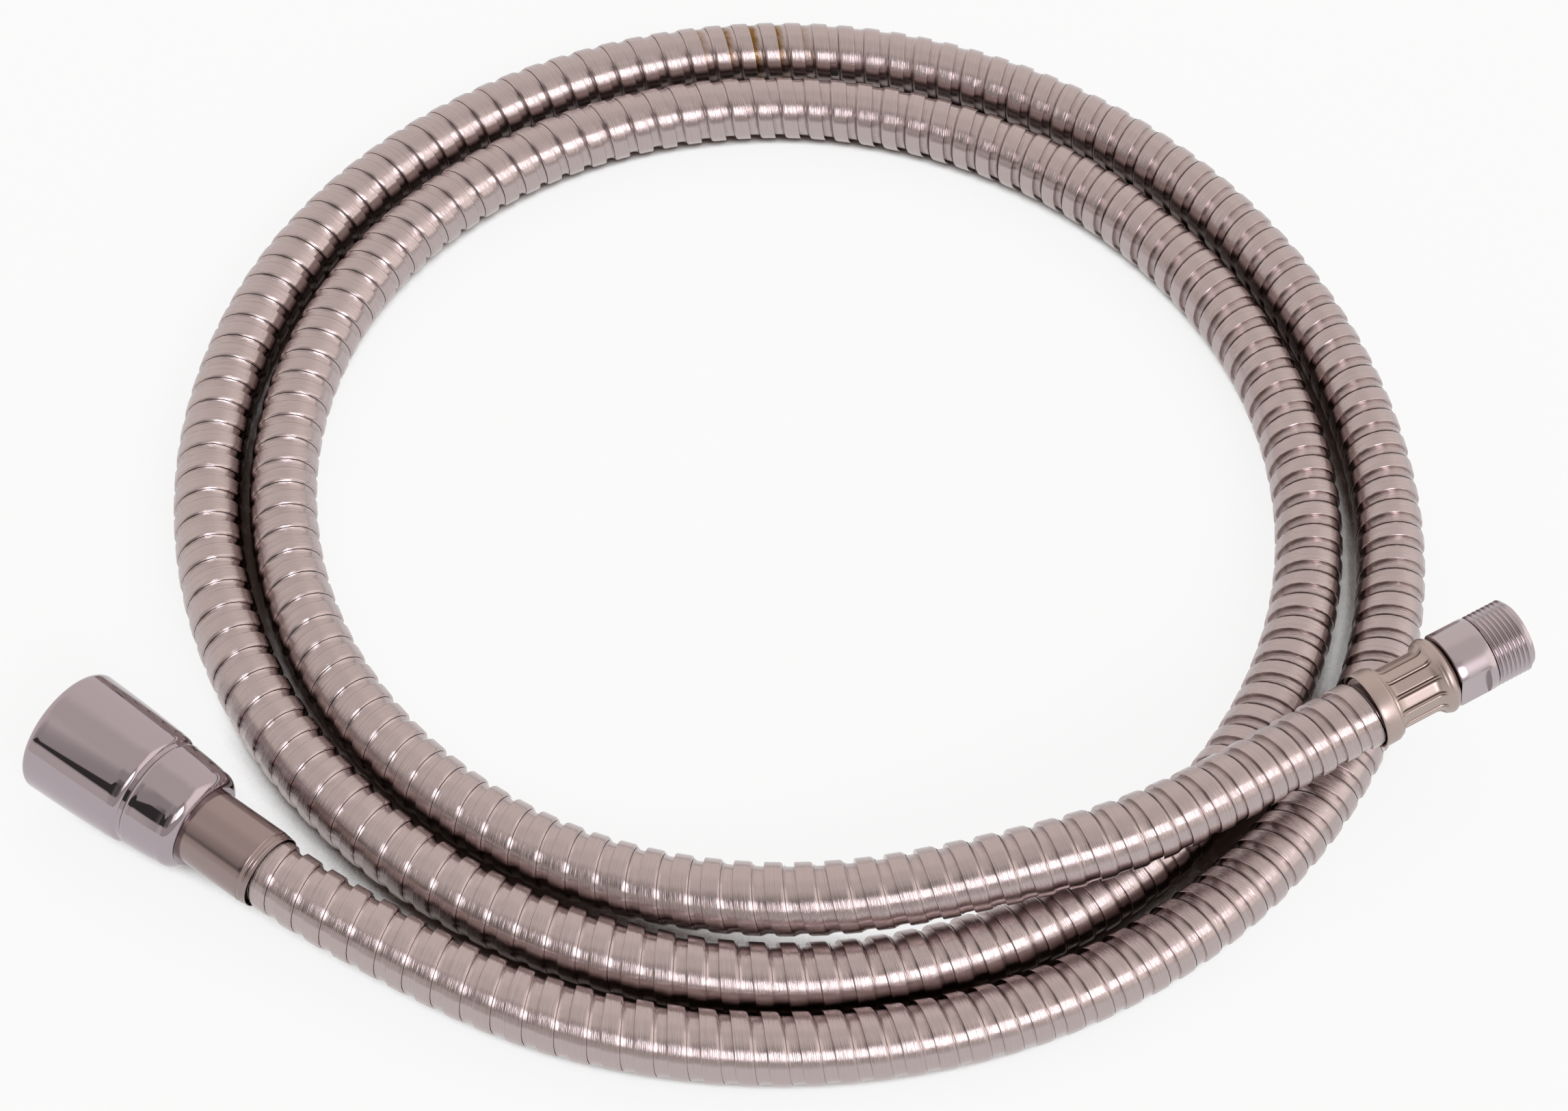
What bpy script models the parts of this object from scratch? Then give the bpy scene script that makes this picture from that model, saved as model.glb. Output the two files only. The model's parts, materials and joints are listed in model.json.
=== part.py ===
# Flexible shower hose, lying coiled on a flat surface with its two end fittings.
# A strip-wound stainless jacket runs over a rubber tube. One end has a loose cone
# nut on a flanged nipple, the other a crimped threaded connector.
# Sizes are in millimetres and become metres where the shapes are made.

import math

import bmesh
import bpy
import numpy as np
from mathutils import Matrix, Vector

MM = 0.001

# Hose
HOSE_OD = 14.0
JACKET_WALL = 1.3
TUBE_WALL = 1.4
LAYER_GAP = 0.3
HOSE_SIDES_RESOLUTION = 4

# Fits between separate pieces
SEAT_GAP = 0.3
BARB_GAP = 0.45
SLEEVE_GAP = 0.3
NUT_RUNNING_GAP = 0.45
TURNING_TOLERANCE = 0.001

# Cone nut
NUT_LENGTH = 35.5
NUT_MOUTH_R = 13.1
NUT_END_R = 11.6
NUT_MOUTH_ROUND = 1.4
NUT_END_ROUND = 3.0
NUT_THREAD_R = 9.45
NUT_THREAD_DEPTH = 13.0
NUT_MOUTH_CHAMFER = 0.9
NUT_GROOVE_AT = 23.4
NUT_GROOVE_WIDTH = 1.5
NUT_GROOVE_DEPTH = 0.55
NUT_HOLE_CHAMFER = 0.4

# Sealing washer and nipple inside the nut
WASHER_THICKNESS = 2.0
WASHER_HOLE_R = 5.2
FLANGE_THICKNESS = 2.0
NIPPLE_TAIL = 21.0
NIPPLE_NECK = 1.6
FLOW_BORE_R = 2.3
BARB_COUNT = 4
BARB_DEPTH = 0.45
BARB_STEEP_SHARE = 0.25

# Smooth sleeve behind the nut
SLEEVE_WALL = 0.45
SLEEVE_LENGTH = 36.5
SLEEVE_END_WALL = 1.0

# Crimped sleeve at the connector
COLLAR_LENGTH = 4.2
CRIMP_WALL = 0.6
CRIMP_RIDGE = 0.22
CRIMP_COUNT = 12
CRIMP_START = 5.3
BEAD_HEIGHT = 1.6
BEAD_WIDTH = 2.7
BEAD_FLARE = 1.6
CRIMP_SLEEVE_LENGTH = 17.3

# Threaded connector
BODY_R = 7.6
BODY_LENGTH = 8.1
THREAD_R = 7.5
THREAD_LENGTH = 8.5
THREAD_CHAMFER = 0.6
ACROSS_FLATS = 13.0
FLAT_LENGTH = 6.2
FLAT_TURN = -4.6
BORE_CHAMFER = 0.6
CONNECTOR_BORE_R = 4.3
CONNECTOR_BORE_DEPTH = 8.0
CONNECTOR_TAIL = 14.0

# Where the fittings lie, measured from the middle of the coil
COIL_CENTRE = (-7.6, 3.1)
NUT_MOUTH_AT = (-76.1, -131.7)
COLLAR_AT = (127.0, 16.7, 24.5)
CONNECTOR_HEADING = 63.4
CONNECTOR_RISE = 8.5
NUT_END_RUN = 2.0
CONNECTOR_END_RUN = 3.0

# Route of the hose: degrees round the coil, distance from its middle, and how far
# the hose is lifted off the surface. The third turn climbs over the other two.
ROUTE = [
    (270, 129.8, 2.3), (285, 128.0, 0.8), (300, 126.8, 0.1), (330, 126.3, 0.0),
    (360, 126.5, 0.0), (390, 126.6, 0.0), (420, 127.7, 0.0), (450, 131.6, 0.0),
    (480, 133.7, 0.0), (510, 130.8, 0.0), (540, 126.0, 0.0), (570, 119.9, 0.0),
    (600, 115.3, 0.0), (630, 112.3, 0.0), (660, 111.8, 0.0), (690, 111.0, 0.0),
    (720, 109.1, 0.0), (750, 109.6, 0.0), (780, 111.4, 0.0), (810, 114.2, 0.0),
    (840, 115.9, 0.0), (870, 114.1, 0.0), (900, 109.9, 0.0), (930, 104.3, 0.0),
    (960, 99.8, 0.1), (990, 96.9, 0.6), (1005, 96.8, 2.4), (1020, 97.9, 5.6),
    (1035, 99.9, 9.3), (1050, 103.4, 12.8), (1062, 109.2, 15.0), (1074, 115.4, 15.8),
]
ROUTE_STEP = 12

# Radii worked out from the sizes above
HOSE_R = HOSE_OD / 2
JACKET_IN_R = HOSE_R - JACKET_WALL
TUBE_OUT_R = JACKET_IN_R - LAYER_GAP
TUBE_IN_R = TUBE_OUT_R - TUBE_WALL
BARB_R = TUBE_IN_R - BARB_GAP
SLEEVE_IN_R = HOSE_R + SLEEVE_GAP
SLEEVE_R = SLEEVE_IN_R + SLEEVE_WALL
CRIMP_IN_R = TUBE_OUT_R + SLEEVE_GAP
CRIMP_R = CRIMP_IN_R + CRIMP_WALL
BEAD_R = CRIMP_R + BEAD_HEIGHT
FLANGE_R = NUT_THREAD_R - SEAT_GAP
NUT_HOLE_R = SLEEVE_R + NUT_RUNNING_GAP

# Stations along the nut's axis, counted from its mouth towards the hose
WASHER_AT = NUT_THREAD_DEPTH - WASHER_THICKNESS
FLANGE_AT = NUT_THREAD_DEPTH + SEAT_GAP
FLANGE_BACK = FLANGE_AT + FLANGE_THICKNESS
NUT_SHOULDER = FLANGE_BACK + SEAT_GAP
SLEEVE_AT = FLANGE_BACK + SEAT_GAP
SLEEVE_END = SLEEVE_AT + SLEEVE_LENGTH
HOSE_START = SLEEVE_AT + SLEEVE_END_WALL + SEAT_GAP

# Stations along the connector's axis, counted from the collar's hose side
JACKET_END = COLLAR_LENGTH - SEAT_GAP
CRIMP_END = CRIMP_SLEEVE_LENGTH - BEAD_WIDTH - BEAD_FLARE
BODY_AT = CRIMP_SLEEVE_LENGTH + SEAT_GAP
THREAD_AT = BODY_AT + BODY_LENGTH
CONNECTOR_END = THREAD_AT + THREAD_LENGTH
TUBE_END = BODY_AT - SEAT_GAP


def clear_scene():
    for obj in list(bpy.data.objects):
        bpy.data.objects.remove(obj, do_unlink=True)


def material(name, colour, roughness, metallic):
    mat = bpy.data.materials.new(name)
    mat.use_nodes = True
    shader = mat.node_tree.nodes["Principled BSDF"]
    shader.inputs["Base Color"].default_value = (*colour, 1.0)
    shader.inputs["Roughness"].default_value = roughness
    shader.inputs["Metallic"].default_value = metallic
    return mat


def axis_frame(origin, heading, rise):
    """A placement whose +Z runs along an axis and whose +Y lies level."""
    heading = math.radians(heading)
    rise = math.radians(rise)
    along = Vector((math.cos(rise) * math.cos(heading), math.cos(rise) * math.sin(heading), math.sin(rise)))
    level = Vector((-math.sin(heading), math.cos(heading), 0.0))
    third = level.cross(along)
    turn = Matrix((third, level, along)).transposed().to_4x4()
    return Matrix.Translation(Vector(origin) * MM) @ turn


def nut_lean():
    """The cone nut lies on its side, so its axis dips towards its narrow end."""
    return math.degrees(math.atan2(NUT_MOUTH_R - NUT_END_R, NUT_LENGTH))


def nut_frame():
    lean = math.radians(nut_lean())
    x = COIL_CENTRE[0] + NUT_MOUTH_AT[0]
    y = COIL_CENTRE[1] + NUT_MOUTH_AT[1]
    return axis_frame((x, y, NUT_MOUTH_R * math.cos(lean)), 0.0, -nut_lean())


def connector_frame():
    x = COIL_CENTRE[0] + COLLAR_AT[0]
    y = COIL_CENTRE[1] + COLLAR_AT[1]
    return axis_frame((x, y, COLLAR_AT[2]), CONNECTOR_HEADING, CONNECTOR_RISE)


def along_axis(frame, station):
    """A point on a fitting's axis, in millimetres."""
    return np.array(frame @ Vector((0.0, 0.0, station * MM))) / MM


def smooth_curve(stations, points, start_slope, end_slope):
    """Slopes of the cubic curve that passes smoothly through every point."""
    count = len(stations)
    steps = np.diff(stations)
    matrix = np.zeros((count, count))
    right = np.zeros((count, 3))
    matrix[0, 0] = matrix[-1, -1] = 1.0
    right[0] = start_slope
    right[-1] = end_slope
    for i in range(1, count - 1):
        before, after = steps[i - 1], steps[i]
        matrix[i, i - 1] = after
        matrix[i, i] = 2 * (before + after)
        matrix[i, i + 1] = before
        rise_before = (points[i] - points[i - 1]) / before
        rise_after = (points[i + 1] - points[i]) / after
        right[i] = 3 * (after * rise_before + before * rise_after)
    return np.linalg.solve(matrix, right)


def curve_point(stations, points, slopes, station):
    i = int(np.clip(np.searchsorted(stations, station) - 1, 0, len(stations) - 2))
    step = stations[i + 1] - stations[i]
    t = (station - stations[i]) / step
    start = points[i] * (1 + 2 * t) * (1 - t) ** 2 + slopes[i] * step * t * (1 - t) ** 2
    end = points[i + 1] * t * t * (3 - 2 * t) + slopes[i + 1] * step * t * t * (t - 1)
    return start + end


def angle_about_coil(point, turns):
    angle = math.degrees(math.atan2(point[1] - COIL_CENTRE[1], point[0] - COIL_CENTRE[0]))
    return angle % 360 + 360 * turns


def hose_path(first_station, last_station):
    """Centreline from a station on the nut's axis to one on the connector's axis."""
    nut, connector = nut_frame(), connector_frame()
    start = along_axis(nut, SLEEVE_END + NUT_END_RUN)
    end = along_axis(connector, -CONNECTOR_END_RUN)
    stations = [angle_about_coil(start, 0)]
    points = [start]
    for angle, radius, lift in ROUTE:
        turn = math.radians(angle)
        x = COIL_CENTRE[0] + radius * math.cos(turn)
        y = COIL_CENTRE[1] + radius * math.sin(turn)
        stations.append(angle)
        points.append(np.array((x, y, HOSE_R + lift)))
    stations.append(angle_about_coil(end, 3))
    points.append(end)
    first_speed = np.linalg.norm(points[1] - points[0]) / (stations[1] - stations[0])
    last_speed = np.linalg.norm(points[-1] - points[-2]) / (stations[-1] - stations[-2])
    nut_way = np.array(nut.to_3x3().col[2])
    connector_way = np.array(connector.to_3x3().col[2])
    slopes = smooth_curve(stations, points, nut_way * first_speed, connector_way * last_speed)
    path = [along_axis(nut, first_station), start]
    for angle in range(ROUTE[0][0], int(stations[-1]), ROUTE_STEP):
        point = curve_point(stations, points, slopes, angle)
        point[2] = max(point[2], HOSE_R)
        path.append(point)
    path += [end, along_axis(connector, last_station)]
    return path


def tube_along(name, path, radius, wall, mat):
    """A hollow tube swept along a path: a bevelled curve given a wall and open ends."""
    curve = bpy.data.curves.new(name, "CURVE")
    curve.dimensions = "3D"
    curve.twist_mode = "MINIMUM"
    curve.bevel_depth = radius * MM
    curve.bevel_resolution = HOSE_SIDES_RESOLUTION
    curve.use_fill_caps = False
    line = curve.splines.new("POLY")
    line.points.add(len(path) - 1)
    for point, place in zip(line.points, path):
        point.co = (*(place * MM), 1.0)
    obj = bpy.data.objects.new(name, curve)
    bpy.context.scene.collection.objects.link(obj)
    curve.materials.append(mat)
    shell = obj.modifiers.new("wall", "SOLIDIFY")
    shell.thickness = wall * MM
    shell.offset = -1.0
    shell.use_rim = True
    shell.use_even_offset = True
    return obj


def rounded(centre_r, centre_z, size, start_deg, end_deg, steps=4):
    """Points of a rounded corner of a turned profile."""
    points = []
    for i in range(steps + 1):
        angle = math.radians(start_deg + (end_deg - start_deg) * i / steps)
        points.append((centre_r + size * math.cos(angle), centre_z + size * math.sin(angle)))
    return points


def profile_object(name, profile, mat):
    """A closed profile in the XZ plane, as a mesh of edges."""
    mesh = bpy.data.meshes.new(name)
    count = len(profile)
    verts = [(r * MM, 0.0, z * MM) for r, z in profile]
    mesh.from_pydata(verts, [(i, (i + 1) % count) for i in range(count)], [])
    mesh.materials.append(mat)
    obj = bpy.data.objects.new(name, mesh)
    bpy.context.scene.collection.objects.link(obj)
    return obj


def turned(name, profile, segments, frame, mat, parent):
    """A turned piece: its profile screwed once round its own Z axis."""
    obj = profile_object(name, profile, mat)
    screw = obj.modifiers.new("turn", "SCREW")
    screw.axis = "Z"
    screw.angle = math.tau
    screw.steps = segments
    screw.render_steps = segments
    screw.use_merge_vertices = True
    screw.merge_threshold = 0.00001
    screw.use_smooth_shade = True
    obj.parent = parent
    obj.matrix_world = frame
    return obj


def cone_nut(frame, mat, parent):
    """Chromed nut: a two-stage cone with a female thread and a shoulder that pulls on the flange."""
    taper = (NUT_MOUTH_R - NUT_END_R) / NUT_LENGTH

    def cone(z):
        return NUT_MOUTH_R - taper * z

    groove_end = NUT_GROOVE_AT + NUT_GROOVE_WIDTH
    groove_floor = (NUT_GROOVE_AT + groove_end) / 2
    back = NUT_LENGTH - NUT_END_ROUND
    profile = [(NUT_HOLE_R + NUT_HOLE_CHAMFER, NUT_LENGTH)]
    profile += rounded(cone(back) - NUT_END_ROUND, back, NUT_END_ROUND, 90, 0)
    profile += [(cone(groove_end), groove_end)]
    profile += [(cone(groove_floor) - NUT_GROOVE_DEPTH, groove_floor + NUT_GROOVE_WIDTH / 8)]
    profile += [(cone(groove_floor) - NUT_GROOVE_DEPTH, groove_floor - NUT_GROOVE_WIDTH / 8)]
    profile += [(cone(NUT_GROOVE_AT), NUT_GROOVE_AT)]
    profile += rounded(cone(NUT_MOUTH_ROUND) - NUT_MOUTH_ROUND, NUT_MOUTH_ROUND, NUT_MOUTH_ROUND, 0, -90)
    profile += [(NUT_THREAD_R + NUT_MOUTH_CHAMFER, 0.0), (NUT_THREAD_R, NUT_MOUTH_CHAMFER)]
    profile += [(NUT_THREAD_R, NUT_SHOULDER), (NUT_HOLE_R, NUT_SHOULDER)]
    profile += [(NUT_HOLE_R, NUT_LENGTH - NUT_HOLE_CHAMFER)]
    return turned("cone_nut", profile, 40, frame, mat, parent)


def sealing_washer(frame, mat, parent):
    """Flat rubber washer on the flange, inside the thread."""
    top, bottom = WASHER_AT + WASHER_THICKNESS, WASHER_AT
    profile = [(FLANGE_R, top), (FLANGE_R, bottom), (WASHER_HOLE_R, bottom), (WASHER_HOLE_R, top)]
    return turned("sealing_washer", profile, 32, frame, mat, parent)


def barbed_tail(root, tip):
    """Outer side of a barbed tail, listed from its root to its tip."""
    pitch = (tip - root) / BARB_COUNT
    points = []
    for i in range(BARB_COUNT):
        foot = root + pitch * i
        points.append((BARB_R - BARB_DEPTH, foot))
        points.append((BARB_R, foot + pitch * BARB_STEEP_SHARE))
    points.append((BARB_R - BARB_DEPTH, tip))
    return points


def nut_end_nipple(frame, mat, parent):
    """Brass nipple: a flange that the nut pulls on, a neck and a barbed tail in the rubber tube."""
    neck_end = FLANGE_BACK + NIPPLE_NECK
    tip = FLANGE_BACK + NIPPLE_TAIL
    outer = [(FLANGE_R, FLANGE_AT), (FLANGE_R, FLANGE_BACK), (BARB_R, FLANGE_BACK)]
    outer += [(BARB_R, neck_end)] + barbed_tail(neck_end + SEAT_GAP, tip)
    profile = list(reversed(outer)) + [(FLOW_BORE_R, FLANGE_AT), (FLOW_BORE_R, tip)]
    return turned("nut_end_nipple", profile, 24, frame, mat, parent)


def nut_end_ferrule(frame, mat, parent):
    """Smooth stainless sleeve over the jacket's end, with a turned-in front wall."""
    front, wall, end = SLEEVE_AT, SLEEVE_AT + SLEEVE_END_WALL, SLEEVE_END
    edge = SLEEVE_WALL / 3
    profile = [(SLEEVE_IN_R, end), (SLEEVE_R - edge, end), (SLEEVE_R, end - edge)]
    profile += rounded(SLEEVE_R - SLEEVE_END_WALL, front + SLEEVE_END_WALL, SLEEVE_END_WALL, 0, -90, 3)
    profile += [(BARB_R + SEAT_GAP, front), (BARB_R + SEAT_GAP, wall), (SLEEVE_IN_R, wall)]
    return turned("nut_end_ferrule", profile, 36, frame, mat, parent)


def male_end_ferrule(frame, mat, parent):
    """Crimped sleeve: a collar round the jacket's end, a neck crimped on the tube, and a rolled bead."""
    segments = CRIMP_COUNT * 4
    collar_end = COLLAR_LENGTH
    bead_round = BEAD_WIDTH / 2
    bead_middle = CRIMP_SLEEVE_LENGTH - bead_round
    profile = [(CRIMP_IN_R, CRIMP_SLEEVE_LENGTH)]
    profile += rounded(BEAD_R - bead_round, bead_middle, bead_round, 90, -45, 4)
    profile += [(CRIMP_R, CRIMP_END), (CRIMP_R, CRIMP_START)]
    profile += [((SLEEVE_R + CRIMP_R) / 2, (CRIMP_START + collar_end) / 2), (SLEEVE_R, collar_end - SLEEVE_WALL)]
    profile += [(SLEEVE_R, SLEEVE_WALL / 2), (SLEEVE_R - SLEEVE_WALL / 2, 0.0), (SLEEVE_IN_R, 0.0)]
    profile += [(SLEEVE_IN_R, collar_end), (CRIMP_IN_R, collar_end)]
    mesh = bpy.data.meshes.new("male_end_ferrule")
    bm = bmesh.new()
    ring = [bm.verts.new((r * MM, 0.0, z * MM)) for r, z in profile]
    edges = [bm.edges.new((ring[i], ring[(i + 1) % len(ring)])) for i in range(len(ring))]
    bmesh.ops.spin(
        bm, geom=ring + edges, cent=(0, 0, 0), axis=(0, 0, 1), angle=math.tau, steps=segments, use_merge=True
    )
    bmesh.ops.remove_doubles(bm, verts=bm.verts, dist=0.00001)
    bmesh.ops.recalc_face_normals(bm, faces=bm.faces)
    for vert in bm.verts:
        radius = math.hypot(vert.co.x, vert.co.y) / MM
        if abs(radius - CRIMP_R) < TURNING_TOLERANCE:
            place = round(math.atan2(vert.co.y, vert.co.x) / math.tau * segments)
            if place % 4 == 0:
                vert.co.x *= 1 + CRIMP_RIDGE / CRIMP_R
                vert.co.y *= 1 + CRIMP_RIDGE / CRIMP_R
    bm.to_mesh(mesh)
    bm.free()
    mesh.materials.append(mat)
    mesh.shade_smooth()
    mesh.set_sharp_from_angle(angle=math.radians(30))
    obj = bpy.data.objects.new("male_end_ferrule", mesh)
    bpy.context.scene.collection.objects.link(obj)
    obj.parent = parent
    obj.matrix_world = frame
    return obj


def male_connector(frame, mat, parent):
    """Chromed brass connector: barbed tail, round body with two wrench flats, male thread and bore."""
    tip = BODY_AT - CONNECTOR_TAIL
    funnel = CONNECTOR_END - CONNECTOR_BORE_DEPTH
    profile = [(CONNECTOR_BORE_R + BORE_CHAMFER, CONNECTOR_END), (THREAD_R - THREAD_CHAMFER, CONNECTOR_END)]
    profile += [(THREAD_R, CONNECTOR_END - THREAD_CHAMFER), (THREAD_R, THREAD_AT), (BODY_R, THREAD_AT)]
    profile += [(BODY_R, BODY_AT), (BARB_R, BODY_AT), (BARB_R, BODY_AT - NIPPLE_NECK)]
    profile += barbed_tail(BODY_AT - NIPPLE_NECK - SEAT_GAP, tip)
    profile += [(FLOW_BORE_R, tip), (FLOW_BORE_R, funnel - CONNECTOR_BORE_R + FLOW_BORE_R)]
    profile += [(CONNECTOR_BORE_R, funnel), (CONNECTOR_BORE_R, CONNECTOR_END - BORE_CHAMFER)]
    obj = turned("male_connector", profile, 40, frame, mat, parent)
    for side in (-1, 1):
        cut = obj.modifiers.new("wrench flat", "BOOLEAN")
        cut.operation = "DIFFERENCE"
        cut.solver = "EXACT"
        cut.object = wrench_flat_cutter(side, frame, parent)
    return obj


def wrench_flat_cutter(side, frame, parent):
    """A block whose inner face is one wrench flat. It overshoots the body at its start and sides."""
    width = BODY_R * 3
    length = FLAT_LENGTH + BODY_R
    centre = (0.0, side * (ACROSS_FLATS + width) / 2, BODY_AT + FLAT_LENGTH - length / 2)
    mesh = bpy.data.meshes.new("wrench_flat_cutter")
    bm = bmesh.new()
    bmesh.ops.create_cube(bm, size=1.0)
    bmesh.ops.scale(bm, vec=(width * MM, width * MM, length * MM), verts=bm.verts)
    bmesh.ops.translate(bm, vec=[place * MM for place in centre], verts=bm.verts)
    bm.to_mesh(mesh)
    bm.free()
    cutter = bpy.data.objects.new("wrench_flat_cutter", mesh)
    bpy.context.scene.collection.objects.link(cutter)
    cutter.parent = parent
    cutter.matrix_world = frame @ Matrix.Rotation(math.radians(FLAT_TURN), 4, "Z")
    cutter.hide_render = True
    cutter.display_type = "WIRE"
    return cutter


def empty(name, frame):
    obj = bpy.data.objects.new(name, None)
    bpy.context.scene.collection.objects.link(obj)
    obj.matrix_world = frame
    return obj


def build():
    clear_scene()
    steel = material("stainless_strip", (0.56, 0.51, 0.49), 0.3, 1.0)
    sleeve_steel = material("stainless_sleeve", (0.53, 0.48, 0.46), 0.32, 1.0)
    crimp_steel = material("crimped_sleeve", (0.66, 0.57, 0.51), 0.3, 1.0)
    chrome = material("chrome_plate", (0.62, 0.59, 0.62), 0.08, 1.0)
    brass = material("brass", (0.72, 0.55, 0.28), 0.35, 1.0)
    rubber = material("black_rubber", (0.03, 0.03, 0.03), 0.7, 0.0)
    nut_axis = empty("nut_axis", nut_frame())
    connector_axis = empty("connector_axis", connector_frame())
    bpy.context.view_layer.update()
    nut, connector = nut_frame(), connector_frame()
    cone_nut(nut, chrome, nut_axis)
    sealing_washer(nut, rubber, nut_axis)
    nut_end_nipple(nut, brass, nut_axis)
    nut_end_ferrule(nut, sleeve_steel, nut_axis)
    tube_along("hose_jacket", hose_path(HOSE_START, JACKET_END), HOSE_R, JACKET_WALL, steel)
    tube_along("inner_tube", hose_path(HOSE_START, TUBE_END), TUBE_OUT_R, TUBE_WALL, rubber)
    male_end_ferrule(connector, crimp_steel, connector_axis)
    male_connector(connector, chrome, connector_axis)


build()
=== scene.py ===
import json
import math

import bmesh
import bpy
import numpy as np
from mathutils import Matrix, Vector


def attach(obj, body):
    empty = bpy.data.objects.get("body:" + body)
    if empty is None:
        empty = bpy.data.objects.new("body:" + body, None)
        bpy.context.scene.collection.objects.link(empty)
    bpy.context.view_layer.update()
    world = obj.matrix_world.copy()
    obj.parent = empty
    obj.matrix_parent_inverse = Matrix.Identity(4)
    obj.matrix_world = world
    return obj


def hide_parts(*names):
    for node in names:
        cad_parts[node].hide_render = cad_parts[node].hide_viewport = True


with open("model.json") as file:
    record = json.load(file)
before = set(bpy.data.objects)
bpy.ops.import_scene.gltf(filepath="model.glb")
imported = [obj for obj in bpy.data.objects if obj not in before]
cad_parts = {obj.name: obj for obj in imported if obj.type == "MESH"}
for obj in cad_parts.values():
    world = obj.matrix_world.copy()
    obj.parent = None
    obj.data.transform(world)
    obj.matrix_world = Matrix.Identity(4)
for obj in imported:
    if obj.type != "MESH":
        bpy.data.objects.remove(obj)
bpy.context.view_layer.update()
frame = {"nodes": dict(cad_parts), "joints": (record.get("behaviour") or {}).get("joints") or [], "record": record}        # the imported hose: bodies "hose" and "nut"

mm = 0.001
mounts = {mount["name"]: mount for mount in frame["record"]["mounts"]}
nutJoint = next(joint for joint in frame["joints"] if joint["name"] == "nut_spin")


# Each fitting is turned on its own axis, and the record says where that axis lies

def axisPlace(point, along):
    along = Vector(along).normalized()
    level = Vector((-along.y, along.x, 0)).normalized()
    side = level.cross(along)
    return Matrix.Translation(Vector(point)) @ Matrix((side, level, along)).transposed().to_4x4()


endFace = {
    "fromCollar": 34.2,  # the connector's end face, counted from the collar's hose edge
    "mountRadius": 5.9,  # how far the mount's point on that face lies from the axis
}
nutPlace = axisPlace(nutJoint["pos_m"], nutJoint["axis"])
endMount = mounts["connector_end_face"]
endPlace = axisPlace(endMount["pos_m"], endMount["axis"])
collarPoint = endPlace @ Vector((endFace["mountRadius"] * mm, 0, -endFace["fromCollar"] * mm))
connectorPlace = axisPlace(collarPoint, endMount["axis"])


# Camera, looking down on the coil as the photograph does

view = {
    "lens": 75.0,
    "position": (0.2252, -0.3415, 0.5445),
    "heading": 33.9,  # degrees round Z
    "pitchDown": 53.11,
    "roll": 2.58,
}


def addCamera():
    data = bpy.data.cameras.new("camera")
    data.lens = view["lens"]
    data.clip_start = 0.01
    camera = bpy.data.objects.new("camera", data)
    bpy.context.scene.collection.objects.link(camera)
    heading = Matrix.Rotation(math.radians(view["heading"]), 4, "Z")
    pitch = Matrix.Rotation(math.radians(90 - view["pitchDown"]), 4, "X")
    roll = Matrix.Rotation(math.radians(view["roll"]), 4, "Z")
    camera.matrix_world = Matrix.Translation(view["position"]) @ heading @ pitch @ roll
    bpy.context.scene.camera = camera


addCamera()
print("camera placed")


# Small helpers for materials

def linear(hexColour):
    shares = [int(hexColour[i:i + 2], 16) / 255 for i in (1, 3, 5)]
    return tuple(c / 12.92 if c <= 0.04045 else ((c + 0.055) / 1.055) ** 2.4 for c in shares) + (1.0,)


def newMaterial(name, colour, metallic, roughness):
    material = bpy.data.materials.new(name)
    material.use_nodes = True
    shader = material.node_tree.nodes["Principled BSDF"]
    shader.inputs["Base Color"].default_value = linear(colour)
    shader.inputs["Metallic"].default_value = metallic
    shader.inputs["Roughness"].default_value = roughness
    return material, material.node_tree, shader


def addNode(tree, kind, settings=None, values=None, links=None):
    node = tree.nodes.new(kind)
    for name, value in (settings or {}).items():
        setattr(node, name, value)

    def socket(name):
        # a colour mix has its sockets behind the float ones of the same name
        if kind == "ShaderNodeMix" and node.data_type == "RGBA" and name in ("A", "B"):
            return next(s for s in node.inputs if s.name == name and s.type == "RGBA")
        return node.inputs[name]

    for name, value in (values or {}).items():
        socket(name).default_value = value
    for name, source in (links or {}).items():
        tree.links.new(source, socket(name))
    return node


def mixedColour(node):
    return next(s for s in node.outputs if s.type == "RGBA")


def dress(piece, material):
    piece.data.materials.clear()
    piece.data.materials.append(material)


# The hose's route, the same points as the CAD tube follows, in metres

hose = {
    "diameter": 0.014,
    "innerRadius": 0.0057,
    "coilCentre": (-0.0076, 0.0031),
    # degrees round the coil, distance from its middle, lift off the surface
    "route": [
        (270, 0.1298, 0.0023), (285, 0.1280, 0.0008), (300, 0.1268, 0.0001), (330, 0.1263, 0.0),
        (360, 0.1265, 0.0), (390, 0.1266, 0.0), (420, 0.1277, 0.0), (450, 0.1316, 0.0),
        (480, 0.1337, 0.0), (510, 0.1308, 0.0), (540, 0.1260, 0.0), (570, 0.1199, 0.0),
        (600, 0.1153, 0.0), (630, 0.1123, 0.0), (660, 0.1118, 0.0), (690, 0.1110, 0.0),
        (720, 0.1091, 0.0), (750, 0.1096, 0.0), (780, 0.1114, 0.0), (810, 0.1142, 0.0),
        (840, 0.1159, 0.0), (870, 0.1141, 0.0), (900, 0.1099, 0.0), (930, 0.1043, 0.0),
        (960, 0.0998, 0.0001), (990, 0.0969, 0.0006), (1005, 0.0968, 0.0024), (1020, 0.0979, 0.0056),
        (1035, 0.0999, 0.0093), (1050, 0.1034, 0.0128), (1062, 0.1092, 0.0150), (1074, 0.1154, 0.0158),
    ],
    "startOnNutAxis": 16.9,  # where the jacket begins, from the nut's mouth
    "leavesNutAxis": 54.1,
    "joinsConnectorAxis": -3.0,
    "endOnConnectorAxis": 3.9,
    "stepsPerPoint": 16,
    "stepsInNut": 20,
    "stepsInConnector": 6,
}


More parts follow.
